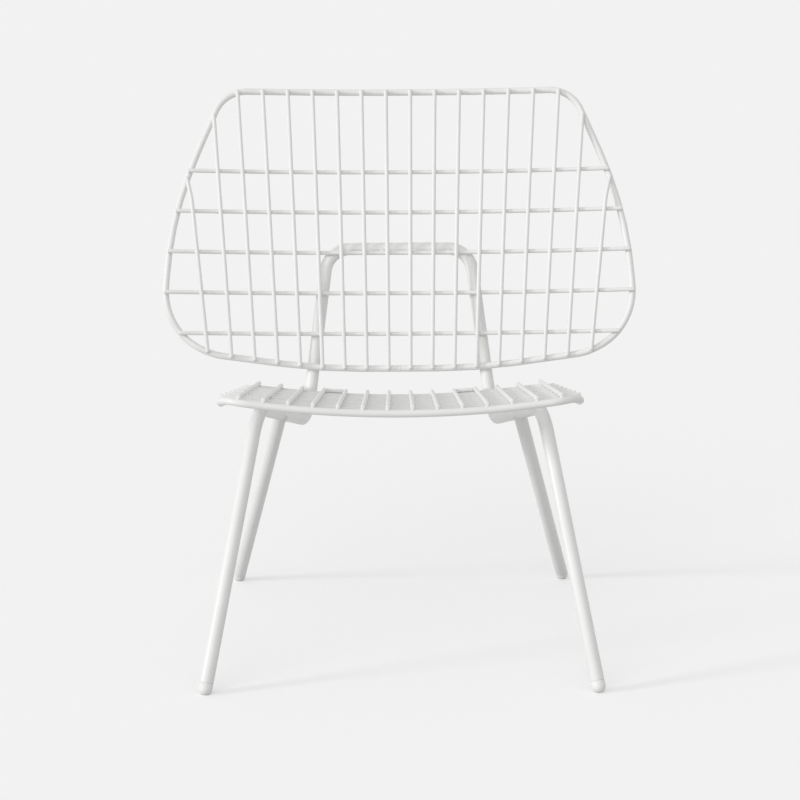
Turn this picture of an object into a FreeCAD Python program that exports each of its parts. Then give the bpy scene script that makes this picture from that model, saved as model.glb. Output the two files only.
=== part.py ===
# Low lounge chair of powder-coated steel: a fanned wire mesh back and a dished wire mesh
# seat, each welded to a rod rim, on a bent tube frame with two welded rear legs.
# Millimetres. Z is up, the sitter faces -Y, and +X is on the right seen from the front.
import FreeCAD, Part
import math
import os

from FreeCAD import Vector

# Stock sizes and clearances
wire_diameter = 6.0
rim_diameter = 9.5
tube_diameter = 18.0
wire_side_count = 8
rim_side_count = 10
tube_side_count = 16
weld_gap = 0.1
wire_past_upright_end = 1.5
wire_past_cross_end = 3.5
ramp_clear_of_wire = 1.5

# How finely a rim's curve is followed, and how closely a gap is solved for
rim_station_spacing = 150.0
rim_station_clear = 14.0
tangent_step = 0.01
parallel_limit = 1e-9
halvings = 24
half_side = 0.5

# Seat mesh, measured along its own slope from the front rim to the rear rim
seat_front_setback = 45.0
seat_front_height = 357.3
seat_depth = 441.6
seat_slope_deg = 7.3
seat_dish_radius = 1400.0
seat_front_half_width = 228.5
seat_rear_half_width = 216.0
seat_front_corner_radius = 38.0
seat_rear_corner_radius = 50.0
seat_rib_count = 14
seat_rib_inside_rim = 25.7
seat_cross_count = 7
seat_front_ramp = 45.0
seat_rear_ramp = 32.0

# Back mesh, measured up its own slope from the bottom rim
back_above_seat_rear = 34.6
back_lean_deg = 15.0
back_height = 406.3
back_curve_radius = 1850.0
back_fan_centre_below = 3270.0
back_upright_count = 18
back_upright_inside_corner = 66.7
back_upright_widening = 5.5
back_cross_count = 5
back_cross_first = 50.4
back_cross_pitch = 59.3
back_bottom_ramp = 22.0
back_top_ramp = 75.0
back_bottom_flat_half = 112.0
back_bottom_bend_radius = 900.0
back_low_corner_half = 341.5
back_low_corner_rise = 28.5
back_low_corner_radius = 94.0
back_waist_half = 329.0
back_waist_rise = 226.0
back_waist_radius = 575.0
back_top_half_width = 252.5
back_top_corner_radius = 50.0
end_upright_kick_length = 32.0
end_upright_kick_out = 2.8
end_upright_below_wire = 10.5
end_upright_bend_radius = 60.0

# Frame tube and legs
front_foot_half_track = 247.5
rear_foot_half_track = 242.6
foot_wheelbase = 569.0
front_bend_half_width = 184.5
front_bend_ahead_of_lug = 29.9
front_bend_below_seat = 19.3
front_bend_radius = 45.0
rear_bend_half_width = 134.5
rear_bend_below_seat = 36.2
rear_bend_radius = 45.0
arch_half_width = 103.0
arch_corner_radius = 36.0
arch_bar_above_wire = 7.4
rear_leg_joint_setback = 297.0

# Glides in the leg ends
glide_centre_height = 7.5
glide_head_length = 6.5
glide_dome_levels = (30.0, 60.0)
glide_stem_diameter = 12.0
glide_stem_length = 18.0
glide_stem_clearance = 0.15
glide_joint_gap = 0.15
glide_end_room = 1.0

# Seat lugs and their screws
front_lug_width = 14.0
front_lug_thickness = 3.0
front_lug_inboard = 26.0
front_lug_outboard = 6.0
front_lug_stem_diameter = 10.0
screw_diameter = 4.0
screw_clearance = 0.15
screw_head_diameter = 8.0
screw_head_height = 2.4
rear_lug_width = 8.0
rear_lug_thickness = 5.0
rear_lug_edge = 1.0

# Worked out from the sizes above
wire_radius = wire_diameter / 2
rim_radius = rim_diameter / 2
tube_radius = tube_diameter / 2
wire_layer = wire_diameter + weld_gap
rim_under_wire = wire_radius + rim_radius + weld_gap
ramp_margin = wire_radius + ramp_clear_of_wire

ACROSS = Vector(1, 0, 0)
AHEAD = Vector(0, 1, 0)
UP = Vector(0, 0, 1)
MIDDLE = Vector(0, 0, 0)


class MeshPanel:
    """A mesh that is flat in (s, v) and rolled to a curve about the line ahead of it.

    s runs across, v runs along the straight wires, and depth is measured behind the
    layer of the straight wires. The curve's radius grows with v where the mesh fans out.
    """

    def __init__(self, base, along, ahead, radius, growth):
        self.base = base
        self.along = along
        self.ahead = ahead
        self.radius = radius
        self.growth = growth

    def radius_at(self, v):
        return self.radius * (1 + self.growth * v)

    def point(self, s, v, depth=0.0):
        radius = self.radius_at(v)
        angle = s / radius
        sideways = (radius + depth) * math.sin(angle)
        forward = radius - (radius + depth) * math.cos(angle)
        return self.base + ACROSS * sideways + self.along * v + self.ahead * forward

    def tangent(self, s, v):
        angle = s / self.radius_at(v)
        return ACROSS * math.cos(angle) + self.ahead * math.sin(angle)

    def inward(self, s, v):
        angle = s / self.radius_at(v)
        return self.ahead * math.cos(angle) - ACROSS * math.sin(angle)


def rounded_path(corners, closed):
    """Straight runs joined by tangent arcs: corners are (point, radius) pairs."""
    count = len(corners)
    stops = []
    edges = []
    for index, (here, radius) in enumerate(corners):
        is_end = not closed and index in (0, count - 1)
        if is_end:
            stops.append((here, here))
            continue
        before = corners[index - 1][0] - here
        after = corners[(index + 1) % count][0] - here
        half_angle = before.getAngle(after) / 2
        trim = min(radius / math.tan(half_angle), before.Length / 2, after.Length / 2)
        fitted = trim * math.tan(half_angle)
        before = before.normalize()
        after = after.normalize()
        bisector = (before + after).normalize()
        crown = here + bisector * (fitted / math.sin(half_angle) - fitted)
        arc = Part.Arc(here + before * trim, crown, here + after * trim)
        edges.append(arc.toShape())
        stops.append((here + before * trim, here + after * trim))
    runs = count if closed else count - 1
    for index in range(runs):
        start = stops[index][1]
        finish = stops[(index + 1) % count][0]
        edges.append(Part.makeLine(start, finish))
    return Part.Wire(Part.__sortEdges__(edges))


def mirrored_outline(half_corners):
    """Close a half outline given on the right into a full outline in the flat plane."""
    right = [(Vector(s, v, 0), radius) for s, v, radius in half_corners]
    left = [(Vector(-s, v, 0), radius) for s, v, radius in reversed(half_corners)]
    return rounded_path(right + left, closed=True)


def crossing(outline, start, finish):
    """The two points where a straight flat line meets the outline, in the line's order."""
    inside = Part.Face(outline).common(Part.makeLine(start, finish))
    points = [vertex.Point for vertex in inside.Vertexes]
    points.sort(key=lambda point: (point - start).Length)
    return points[0], points[-1]


def round_section(centre, axis, diameter, sides):
    """A round section drawn with a few flat sides, its corners on the true circle."""
    axis = Vector(axis).normalize()
    beside = min((ACROSS, AHEAD, UP), key=lambda way: abs(way.dot(axis)))
    across = axis.cross(beside).normalize() * (diameter / 2)
    corners = []
    for side in range(sides + 1):
        turn = FreeCAD.Rotation(axis, (side + half_side) * 360 / sides)
        corners.append(centre + turn.multVec(across))
    return Part.makePolygon(corners)


def solid_through(sections):
    """A solid whose flat sides run from each many-sided section to the next."""
    faces = [Part.Face(sections[0]), Part.Face(sections[-1])]
    for low, high in zip(sections, sections[1:]):
        low_corners = [vertex.Point for vertex in low.OrderedVertexes]
        high_corners = [vertex.Point for vertex in high.OrderedVertexes]
        for side in range(len(low_corners)):
            after = (side + 1) % len(low_corners)
            edge = [low_corners[side], low_corners[after], high_corners[after], high_corners[side]]
            faces.append(Part.Face(Part.makePolygon(edge + edge[:1])))
    return Part.makeSolid(Part.makeShell(faces))


def straight_rod(start, finish, diameter, sides):
    section = round_section(start, finish - start, diameter, sides)
    return Part.Face(section).extrude(finish - start)


def swept_rod(path, diameter, sides):
    """A round rod along a path of lines and arcs that starts at the path's first edge."""
    first = path.OrderedEdges[0]
    start = first.valueAt(first.FirstParameter)
    heading = first.tangentAt(first.FirstParameter)
    if first.Orientation == "Reversed":
        start = first.valueAt(first.LastParameter)
        heading = -first.tangentAt(first.LastParameter)
    return path.makePipe(Part.Face(round_section(start, heading, diameter, sides)))


def arc_rod(panel, s_end, v, depth, diameter):
    """A rod that follows the panel's curve across it from -s_end to s_end."""
    radius = panel.radius_at(v)
    start = panel.point(-s_end, v, depth)
    middle = panel.point(0, v, depth)
    finish = panel.point(s_end, v, depth)
    section = round_section(start, panel.tangent(-s_end, v), diameter, wire_side_count)
    centre = panel.base + panel.along * v + panel.ahead * radius
    axis = (start - centre).cross(middle - centre).normalize()
    sweep = math.degrees((start - centre).getAngle(finish - centre))
    return Part.Face(section).revolve(centre, axis, sweep)


def rim_depth(v, low_cross, high_cross, low_ramp, high_ramp):
    """The rim lies on the straight wires at both ends and behind the cross wires between."""
    low_share = (v - (low_cross - ramp_margin - low_ramp)) / low_ramp
    high_share = ((high_cross + ramp_margin + high_ramp) - v) / high_ramp
    share = max(0.0, min(1.0, low_share, high_share))
    return rim_under_wire + share * share * (3 - 2 * share) * wire_layer


def ramp_levels(low_cross, high_cross, low_ramp, high_ramp):
    low_end = low_cross - ramp_margin
    high_start = high_cross + ramp_margin
    return low_end - low_ramp, low_end, high_start, high_start + high_ramp


def biarc_edges(start, start_heading, finish, finish_heading):
    """Two arcs that leave start and reach finish along the given headings, and join smoothly."""
    span = finish - start
    a = 2 * (start_heading.dot(finish_heading) - 1)
    b = -2 * span.dot(start_heading + finish_heading)
    c = span.dot(span)
    handle = -c / b
    if abs(a) > parallel_limit:
        handle = (-b - math.sqrt(b * b - 4 * a * c)) / (2 * a)
    first_control = start + start_heading * handle
    last_control = finish - finish_heading * handle
    joint = (first_control + last_control) / 2
    edges = []
    for low, control, high in ((start, first_control, joint), (joint, last_control, finish)):
        chord_middle = (low + high) / 2
        rise = (control - chord_middle).Length
        half_turn = math.atan2(rise, (high - low).Length / 2)
        crown_share = math.tan(half_turn / 2) / math.tan(half_turn)
        crown = chord_middle + (control - chord_middle) * crown_share
        edges.append(Part.Arc(low, crown, high).toShape())
    return edges


def rim_path(panel, half_corners, depth_at, levels):
    """Right half of the rim's centre line, from the low middle round to the high middle."""
    flat_path = rounded_path(
        [(Vector(0, half_corners[0][1], 0), 0)]
        + [(Vector(s, v, 0), radius) for s, v, radius in half_corners]
        + [(Vector(0, half_corners[-1][1], 0), 0)],
        closed=False,
    )
    middle = Vector(0, half_corners[-1][1] / 2, 0)
    stations = []
    for level in levels:
        level_line = Part.makeLine(Vector(0, level, 0), Vector(panel.radius, level, 0))
        stations.append(flat_path.section(level_line).Vertexes[0].Point)
    for edge in flat_path.Edges:
        steps = math.ceil(edge.Length / rim_station_spacing)
        for point in edge.discretize(Number=steps + 1):
            if all((point - other).Length > rim_station_clear for other in stations):
                stations.append(point)
    stations.sort(key=lambda point: math.atan2(point.y - middle.y, point.x))
    points = []
    headings = []
    for flat in stations:
        edge = min(flat_path.Edges, key=lambda edge: edge.distToShape(Part.Vertex(flat))[0])
        heading = edge.tangentAt(edge.Curve.parameter(flat))
        outwards = flat - middle
        if heading.x * -outwards.y + heading.y * outwards.x < 0:
            heading = -heading
        ahead = flat + heading * tangent_step
        behind = flat - heading * tangent_step
        here = panel.point(flat.x, flat.y, depth_at(flat.y))
        chord = panel.point(ahead.x, ahead.y, depth_at(ahead.y))
        chord = chord - panel.point(behind.x, behind.y, depth_at(behind.y))
        points.append(here)
        headings.append(chord.normalize())
    edges = []
    for index in range(len(points) - 1):
        edges += biarc_edges(points[index], headings[index], points[index + 1], headings[index + 1])
    return Part.Wire(edges)


def rim_rod(path):
    """The right half of the rim, and its mirror image, as one closed ring."""
    first = path.OrderedEdges[0]
    start = first.valueAt(first.FirstParameter)
    section = round_section(start, ACROSS, rim_diameter, rim_side_count)
    half = path.makePipeShell([section], True, False)
    return half.fuse(half.mirror(MIDDLE, ACROSS)).Solids[0]


def offset_for_gap(distance_at, wanted, low, high):
    """The offset between low and high at which a distance that grows with it is wanted."""
    for _ in range(halvings):
        middle = (low + high) / 2
        if distance_at(middle) < wanted:
            low = middle
        else:
            high = middle
    return (low + high) / 2


def tilted(angle_deg, height_share, depth_share):
    angle = math.radians(angle_deg)
    return Vector(0, depth_share * math.sin(angle), height_share * math.cos(angle))


# Seat panel: straight ribs on top run front to back, cross wires lie below them
seat_along = Vector(0, math.cos(math.radians(seat_slope_deg)), -math.sin(math.radians(seat_slope_deg)))
seat_normal = tilted(seat_slope_deg, 1, 1)
seat = MeshPanel(
    Vector(0, seat_front_setback, seat_front_height), seat_along, seat_normal, seat_dish_radius, 0.0
)
seat_corners = [
    (seat_front_half_width, 0.0, seat_front_corner_radius),
    (seat_rear_half_width, seat_depth, seat_rear_corner_radius),
]
seat_outline = mirrored_outline(seat_corners)
seat_cross_pitch = seat_depth / (seat_cross_count + 1)
seat_cross_places = [seat_cross_pitch * (number + 1) for number in range(seat_cross_count)]
seat_rear_height = seat_front_height + seat_along.z * seat_depth
seat_ramps = (seat_cross_places[0], seat_cross_places[-1], seat_front_ramp, seat_rear_ramp)
seat_rim_path = rim_path(
    seat, seat_corners, lambda v: rim_depth(v, *seat_ramps), ramp_levels(*seat_ramps)
)

parts = {}
parts["seat_rim"] = rim_rod(seat_rim_path)

middle_rib = (seat_rib_count - 1) / 2
seat_rib_pitch = (seat_front_half_width - seat_rib_inside_rim) / middle_rib
rib_places = [(number - middle_rib) * seat_rib_pitch for number in range(seat_rib_count)]
for number, s in enumerate(rib_places):
    low, high = crossing(seat_outline, Vector(s, -seat_depth, 0), Vector(s, 2 * seat_depth, 0))
    front = seat.point(s, low.y - wire_past_upright_end)
    rear = seat.point(s, high.y + wire_past_upright_end)
    parts[f"seat_rib_{number + 1:02d}"] = straight_rod(front, rear, wire_diameter, wire_side_count)

for number, v in enumerate(seat_cross_places):
    low, high = crossing(seat_outline, Vector(-seat_depth, v, 0), Vector(seat_depth, v, 0))
    wire = arc_rod(seat, high.x + wire_past_cross_end, v, wire_layer, wire_diameter)
    parts[f"seat_cross_wire_{number + 1}"] = wire

# Back panel: straight uprights in front fan out upwards, cross wires lie behind them
back_base_height = seat_rear_height + back_above_seat_rear
back_along = tilted(back_lean_deg, 1, 1)
back_ahead = Vector(0, -math.cos(math.radians(back_lean_deg)), math.sin(math.radians(back_lean_deg)))
back_growth = 1 / back_fan_centre_below
back_corners = [
    (back_bottom_flat_half, 0.0, back_bottom_bend_radius),
    (back_low_corner_half, back_low_corner_rise, back_low_corner_radius),
    (back_waist_half, back_waist_rise, back_waist_radius),
    (back_top_half_width, back_height, back_top_corner_radius),
]
back_outline = mirrored_outline(back_corners)
back_cross_places = [back_cross_first + back_cross_pitch * number for number in range(back_cross_count)]
back_ramps = (back_cross_places[0], back_cross_places[-1], back_bottom_ramp, back_top_ramp)


def back_panel_at(setback):
    base = Vector(0, setback, back_base_height)
    return MeshPanel(base, back_along, back_ahead, back_curve_radius, back_growth)


def back_rim_path(panel):
    return rim_path(panel, back_corners, lambda v: rim_depth(v, *back_ramps), ramp_levels(*back_ramps))


# The arch's crossbar lies on a cross wire from behind, and its legs on the back's bottom rim
arch_leg_gap = rim_radius + tube_radius + weld_gap
bar_reach = wire_radius + tube_radius + weld_gap
bar_v = back_cross_places[back_cross_count // 2] + arch_bar_above_wire
bar_offset = wire_layer + math.sqrt(bar_reach ** 2 - arch_bar_above_wire ** 2)
rear_bend_height = seat_rear_height - rear_bend_below_seat


def arch_line(panel, offset):
    """Axis of the right arch leg, from the rear bend's level up to the crossbar."""
    low_v = (rear_bend_height - back_base_height) / math.cos(math.radians(back_lean_deg))
    low = panel.base + ACROSS * rear_bend_half_width + panel.along * low_v - panel.ahead * offset
    high = panel.base + ACROSS * arch_half_width + panel.along * bar_v - panel.ahead * bar_offset
    return low, high


def arch_from_back_rim(offset):
    return Part.makeLine(*arch_line(trial_panel, offset)).distToShape(trial_rim)[0]


def arch_from_seat_rim(setback):
    leg = Part.makeLine(*arch_line(back_panel_at(setback), arch_offset))
    return leg.distToShape(seat_rim_path)[0]


trial_panel = back_panel_at(0.0)
trial_rim = back_rim_path(trial_panel)
nearest_arch = rim_diameter
furthest_arch = nearest_arch + 2 * tube_diameter
arch_offset = offset_for_gap(arch_from_back_rim, arch_leg_gap, nearest_arch, furthest_arch)
nearest_back = seat_front_setback + seat_depth
furthest_back = nearest_back + back_height
back_setback = offset_for_gap(arch_from_seat_rim, arch_leg_gap, nearest_back, furthest_back)
back = back_panel_at(back_setback)
parts["back_rim"] = rim_rod(back_rim_path(back))

middle_upright = (back_upright_count - 1) / 2
outer_upright = back_low_corner_half - back_upright_inside_corner
back_upright_pitch = (outer_upright - back_upright_widening) / middle_upright
for number in range(back_upright_count):
    step = number - middle_upright
    s_base = back_upright_pitch * step + back_upright_widening * (step / middle_upright) ** 3
    v_low, v_high = -back_height, 2 * back_height
    start = Vector(s_base * (1 + back_growth * v_low), v_low, 0)
    finish = Vector(s_base * (1 + back_growth * v_high), v_high, 0)
    low, high = crossing(back_outline, start, finish)
    heading = (high - low).normalize()
    low = low - heading * wire_past_upright_end
    bottom = back.point(low.x, low.y)
    name = f"back_upright_{number + 1:02d}"
    if number in (0, back_upright_count - 1):
        tip_v = back_cross_places[-1] - end_upright_below_wire
        across = Vector(math.copysign(back_height, step), 0, 0)
        tip_line = crossing(back_outline, Vector(0, tip_v, 0), Vector(0, tip_v, 0) + across)
        heading = (tip_line[1] - low).normalize()
        inwards = math.copysign(end_upright_kick_out, -step)
        bend = tip_line[1] - heading * end_upright_kick_length
        knee = back.point(bend.x + inwards, bend.y)
        landing = rim_depth(tip_v, *back_ramps) - rim_under_wire
        tip = back.point(tip_line[1].x, tip_v, landing)
        path = rounded_path([(bottom, 0), (knee, end_upright_bend_radius), (tip, 0)], closed=False)
        parts[name] = swept_rod(path, wire_diameter, wire_side_count)
    else:
        high = high + heading * wire_past_upright_end
        parts[name] = straight_rod(bottom, back.point(high.x, high.y), wire_diameter, wire_side_count)

for number, v in enumerate(back_cross_places):
    low, high = crossing(back_outline, Vector(-back_height, v, 0), Vector(back_height, v, 0))
    wire = arc_rod(back, high.x + wire_past_cross_end, v, wire_layer, wire_diameter)
    parts[f"back_cross_wire_{number + 1}"] = wire

# Frame tube: front leg, side rail under the seat, arch leg and crossbar in one bent length
arch_low, arch_corner = arch_line(back, arch_offset)
lug_bay = seat_cross_count // 3
lug_v = (seat_cross_places[lug_bay - 1] + seat_cross_places[lug_bay]) / 2
front_bend_setback = seat.point(0, lug_v).y - front_bend_ahead_of_lug
front_bend_height = seat_front_height - front_bend_below_seat
front_bend = Vector(front_bend_half_width, front_bend_setback, front_bend_height)


def flip(point):
    return Vector(-point.x, point.y, point.z)


def glide_axis(foot_x, foot_y, target):
    """Centre of the glide's dome and the leg's direction from there to its upper end."""
    centre = Vector(foot_x, foot_y, glide_centre_height)
    return centre, (target - centre).normalize()


front_centre, front_heading = glide_axis(front_foot_half_track, 0, front_bend)
leg_start = glide_head_length + glide_joint_gap
tube_end = front_centre + front_heading * leg_start
right_corners = [
    (tube_end, 0),
    (front_bend, front_bend_radius),
    (arch_low, rear_bend_radius),
    (arch_corner, arch_corner_radius),
]
left_corners = [(flip(point), radius) for point, radius in reversed(right_corners)]
frame_path = rounded_path(right_corners + left_corners, closed=False)
frame_tube = swept_rod(frame_path, tube_diameter, tube_side_count)


def stem_bore(centre, heading):
    mouth = centre + heading * glide_head_length
    bore_end = mouth + heading * (glide_stem_length + glide_end_room)
    return straight_rod(mouth, bore_end, glide_stem_diameter + 2 * glide_stem_clearance, wire_side_count)


def glide(centre, heading):
    """Domed plastic plug: a flat to stand on, a head as wide as the tube, and a stem."""
    mouth = centre + heading * glide_head_length
    sections = [round_section(mouth, heading, tube_diameter, tube_side_count)]
    for level in (0.0,) + glide_dome_levels:
        rise = math.radians(level)
        place = centre - heading * (tube_radius * math.sin(rise))
        width = tube_diameter * math.cos(rise)
        sections.append(round_section(place, heading, width, tube_side_count))
    head = solid_through(sections)
    stem_end = mouth + heading * glide_stem_length
    stem = straight_rod(mouth, stem_end, glide_stem_diameter, wire_side_count)
    floor_corner = Vector(centre.x - tube_diameter, centre.y - tube_diameter, -tube_diameter)
    below_floor = Part.makeBox(2 * tube_diameter, 2 * tube_diameter, tube_diameter, floor_corner)
    return head.fuse(stem).cut(below_floor).removeSplitter()


rail_heading = (arch_low - front_bend).normalize()
rail_travel = (rear_leg_joint_setback - front_bend.y) / rail_heading.y
leg_joint = front_bend + rail_heading * rail_travel
rear_centre, rear_heading = glide_axis(rear_foot_half_track, foot_wheelbase, leg_joint)

# Front lugs: a strip welded under a rib, with a stem that a screw pulls onto the rail
lug_travel = (seat.point(0, lug_v).y - front_bend.y) / rail_heading.y
rail_point = front_bend + rail_heading * lug_travel
from_base = rail_point - seat.base
lug_below_centre = seat_dish_radius - from_base.dot(seat.ahead)
lug_s = seat_dish_radius * math.atan2(from_base.x, lug_below_centre)
lug_v = from_base.dot(seat.along)
rail_depth = math.hypot(from_base.x, lug_below_centre) - seat_dish_radius
lug_top = wire_radius + weld_gap
lug_bottom = lug_top + front_lug_thickness


def panel_block(panel, s, v, s_range, v_range, depth_range):
    """A box in the panel's own directions at (s, v), with depth measured behind the wires."""
    block = Part.makeBox(
        s_range[1] - s_range[0], v_range[1] - v_range[0], depth_range[1] - depth_range[0],
        Vector(s_range[0], v_range[0], -depth_range[1]),
    )
    tangent = panel.tangent(s, v)
    inward = panel.inward(s, v)
    origin = panel.point(s, v)
    block.Placement = FreeCAD.Placement(FreeCAD.Matrix(
        tangent.x, panel.along.x, inward.x, origin.x,
        tangent.y, panel.along.y, inward.y, origin.y,
        tangent.z, panel.along.z, inward.z, origin.z,
        0, 0, 0, 1,
    ))
    return block


def panel_post(panel, s, v, diameter, depth_range):
    low = panel.point(s, v, depth_range[1])
    high = panel.point(s, v, depth_range[0])
    return straight_rod(low, high, diameter, wire_side_count)


strip = panel_block(
    seat, lug_s, lug_v,
    (-front_lug_inboard, front_lug_outboard),
    (-front_lug_width / 2, front_lug_width / 2),
    (lug_top, lug_bottom),
)
stem = panel_post(seat, lug_s, lug_v, front_lug_stem_diameter, (lug_bottom, rail_depth))
rail_clearance = straight_rod(front_bend, arch_low, tube_diameter + 2 * weld_gap, tube_side_count)
screw_hole = panel_post(
    seat, lug_s, lug_v, screw_diameter + 2 * screw_clearance,
    (lug_top + weld_gap, rail_depth + tube_diameter),
)
screw_seat = rail_depth + tube_radius + weld_gap
screw_shank = panel_post(seat, lug_s, lug_v, screw_diameter, (lug_top + 2 * weld_gap, screw_seat))
screw_head = panel_post(
    seat, lug_s, lug_v, screw_head_diameter, (screw_seat, screw_seat + screw_head_height)
)
front_lug = strip.fuse(stem).cut(rail_clearance).cut(screw_hole).removeSplitter()
front_screw = screw_shank.fuse(screw_head).removeSplitter()

# Rear lugs: short bars on top of the rear rim, each filling the space between two ribs
lug_rib = seat_rib_count // 3
rear_lug_s = (rib_places[-lug_rib] + rib_places[-lug_rib - 1]) / 2
rear_lug_half = (seat_rib_pitch - wire_diameter) / 2 - weld_gap
rim_top = rim_under_wire - rim_radius
rear_lug = panel_block(
    seat, rear_lug_s, seat_depth,
    (-rear_lug_half, rear_lug_half),
    (-rear_lug_width / 2, rear_lug_width / 2),
    (rim_top - weld_gap - rear_lug_thickness, rim_top - weld_gap),
)
rear_lug = rear_lug.makeChamfer(rear_lug_edge, rear_lug.Edges)

rear_tube_end = rear_centre + rear_heading * leg_start
rear_leg = straight_rod(rear_tube_end, leg_joint, tube_diameter, tube_side_count)
rear_leg = rear_leg.cut(rail_clearance).cut(stem_bore(rear_centre, rear_heading))
right_cuts = [stem_bore(front_centre, front_heading), screw_hole]
left_cuts = [cutter.mirror(MIDDLE, ACROSS) for cutter in right_cuts]
parts["frame_tube"] = frame_tube.cut(right_cuts + left_cuts)

paired = {
    "rear_leg": rear_leg,
    "front_glide": glide(front_centre, front_heading),
    "rear_glide": glide(rear_centre, rear_heading),
    "front_lug": front_lug,
    "front_lug_screw": front_screw,
    "rear_lug": rear_lug,
}
for name, shape in paired.items():
    parts[f"{name}_right"] = shape
    parts[f"{name}_left"] = shape.mirror(MIDDLE, ACROSS)

# The origin is on the floor, under the middle of the whole chair
whole = Part.makeCompound(list(parts.values())).optimalBoundingBox(False, False)
to_origin = Vector(-whole.Center.x, -whole.Center.y, -whole.ZMin)
os.makedirs("parts", exist_ok=True)
for name, shape in parts.items():
    shape.translate(to_origin)
    shape.exportStep(f"parts/{name}.step")
print("pieces", len(parts), "size", whole.XLength, whole.YLength, whole.ZLength, "moved", to_origin)
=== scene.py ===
"""Low lounge chair of powder-coated steel wire and tube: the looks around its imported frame.

Metres. Z is up, the sitter faces -Y, and +X is on the right seen from the front.
"""
import math
import random

import bmesh
import bpy
from mathutils import Matrix, Vector


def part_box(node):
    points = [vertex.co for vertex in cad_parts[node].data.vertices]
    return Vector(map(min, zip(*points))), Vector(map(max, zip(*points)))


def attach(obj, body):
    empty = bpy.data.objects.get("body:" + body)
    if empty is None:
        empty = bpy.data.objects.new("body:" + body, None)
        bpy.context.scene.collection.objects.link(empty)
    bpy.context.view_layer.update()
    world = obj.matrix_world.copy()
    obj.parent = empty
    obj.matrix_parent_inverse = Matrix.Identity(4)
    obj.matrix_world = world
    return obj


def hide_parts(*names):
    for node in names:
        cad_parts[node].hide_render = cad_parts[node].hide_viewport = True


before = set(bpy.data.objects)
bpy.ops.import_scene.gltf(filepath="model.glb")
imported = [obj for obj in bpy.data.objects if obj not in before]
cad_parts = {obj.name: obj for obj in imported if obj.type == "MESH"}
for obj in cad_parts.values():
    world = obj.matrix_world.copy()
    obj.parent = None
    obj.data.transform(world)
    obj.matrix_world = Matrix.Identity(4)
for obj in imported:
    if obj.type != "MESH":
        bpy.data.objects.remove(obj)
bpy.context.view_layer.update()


# Seat ribs: fourteen straight 6 mm steel wires from the front rim to the rear rim.
# They are cut from drawn wire, their ends deburred, and spot-welded to what lies below
# them before the whole mesh is powder-coated white.
SEAT_RIB_COUNT = 14
WIRE_WIDTH, WIRE_SIDES = 0.006, 20
END_ROUND_SHARE, END_ROUND_STEPS = 0.22, 3
CORNER_DIGITS = 6
ACROSS = Vector((1, 0, 0))


def middle_of(places):
    """The mean of a list of places."""
    return sum((Vector(place) for place in places), Vector()) / len(places)


def rod_corners(node, way):
    """The corners of a CAD rod, each once, in their order along the X, Y or Z axis."""
    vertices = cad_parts[node].data.vertices
    corners = {tuple(round(value, CORNER_DIGITS) for value in vertex.co) for vertex in vertices}
    return sorted(corners, key=lambda corner: corner[way])


def rod_axis(node, way):
    """Both ends of the axis of a straight CAD rod, from the corners of its two end faces."""
    ordered = rod_corners(node, way)
    half = len(ordered) // 2
    return middle_of(ordered[:half]), middle_of(ordered[half:])


def draw_rod(bm, line, width, sides, closed=False, end_round=None, swell=None):
    """Draw a round rod through the points of a line, closed on itself or with rounded ends.

    Where it is given, swell turns a point's index into its share of the rod's width.
    """
    count = len(line)
    heading_before = None
    for index, point in enumerate(line):
        ahead = line[(index + 1) % count] if closed or index < count - 1 else point
        behind = line[index - 1] if closed or index > 0 else point
        heading = (ahead - behind).normalized()
        if index == 0:
            turn = heading.to_track_quat("Z", "Y").to_matrix().to_4x4()
            place = Matrix.Translation(point) @ turn
            ring = bmesh.ops.create_circle(bm, segments=sides, radius=width / 2, matrix=place)["verts"]
            first_edges = list(dict.fromkeys(edge for vertex in ring for edge in vertex.link_edges))
            edges = first_edges
        else:
            turn = heading_before.rotation_difference(heading).to_matrix().to_4x4()
            grown = bmesh.ops.extrude_edge_only(bm, edges=edges)["geom"]
            ring = [item for item in grown if isinstance(item, bmesh.types.BMVert)]
            edges = [
                item for item in grown if isinstance(item, bmesh.types.BMEdge) and item.is_boundary
            ]
            step = Matrix.Translation(point) @ turn @ Matrix.Translation(-line[index - 1])
            bmesh.ops.transform(bm, matrix=step, verts=ring)
        if swell:
            share = swell(index) / (swell(index - 1) if index else 1)
            bmesh.ops.scale(bm, vec=(share, share, share), space=Matrix.Translation(-point), verts=ring)
        heading_before = heading
    if closed:
        bmesh.ops.bridge_loops(bm, edges=first_edges + edges)
    else:
        bmesh.ops.holes_fill(bm, edges=first_edges + edges, sides=sides)
        bmesh.ops.bevel(
            bm, geom=first_edges + edges, offset=end_round or width * END_ROUND_SHARE,
            segments=END_ROUND_STEPS, profile=0.5, affect="EDGES", material=-1, clamp_overlap=True,
        )


PEEL_DETAIL, DRIFT_DETAIL = 1.5, 3.0
THIN_FROM, THIN_TO = 0.35, 0.75
NIB_RADIUS, NIB_HEIGHT = 0.12, 0.35


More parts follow.
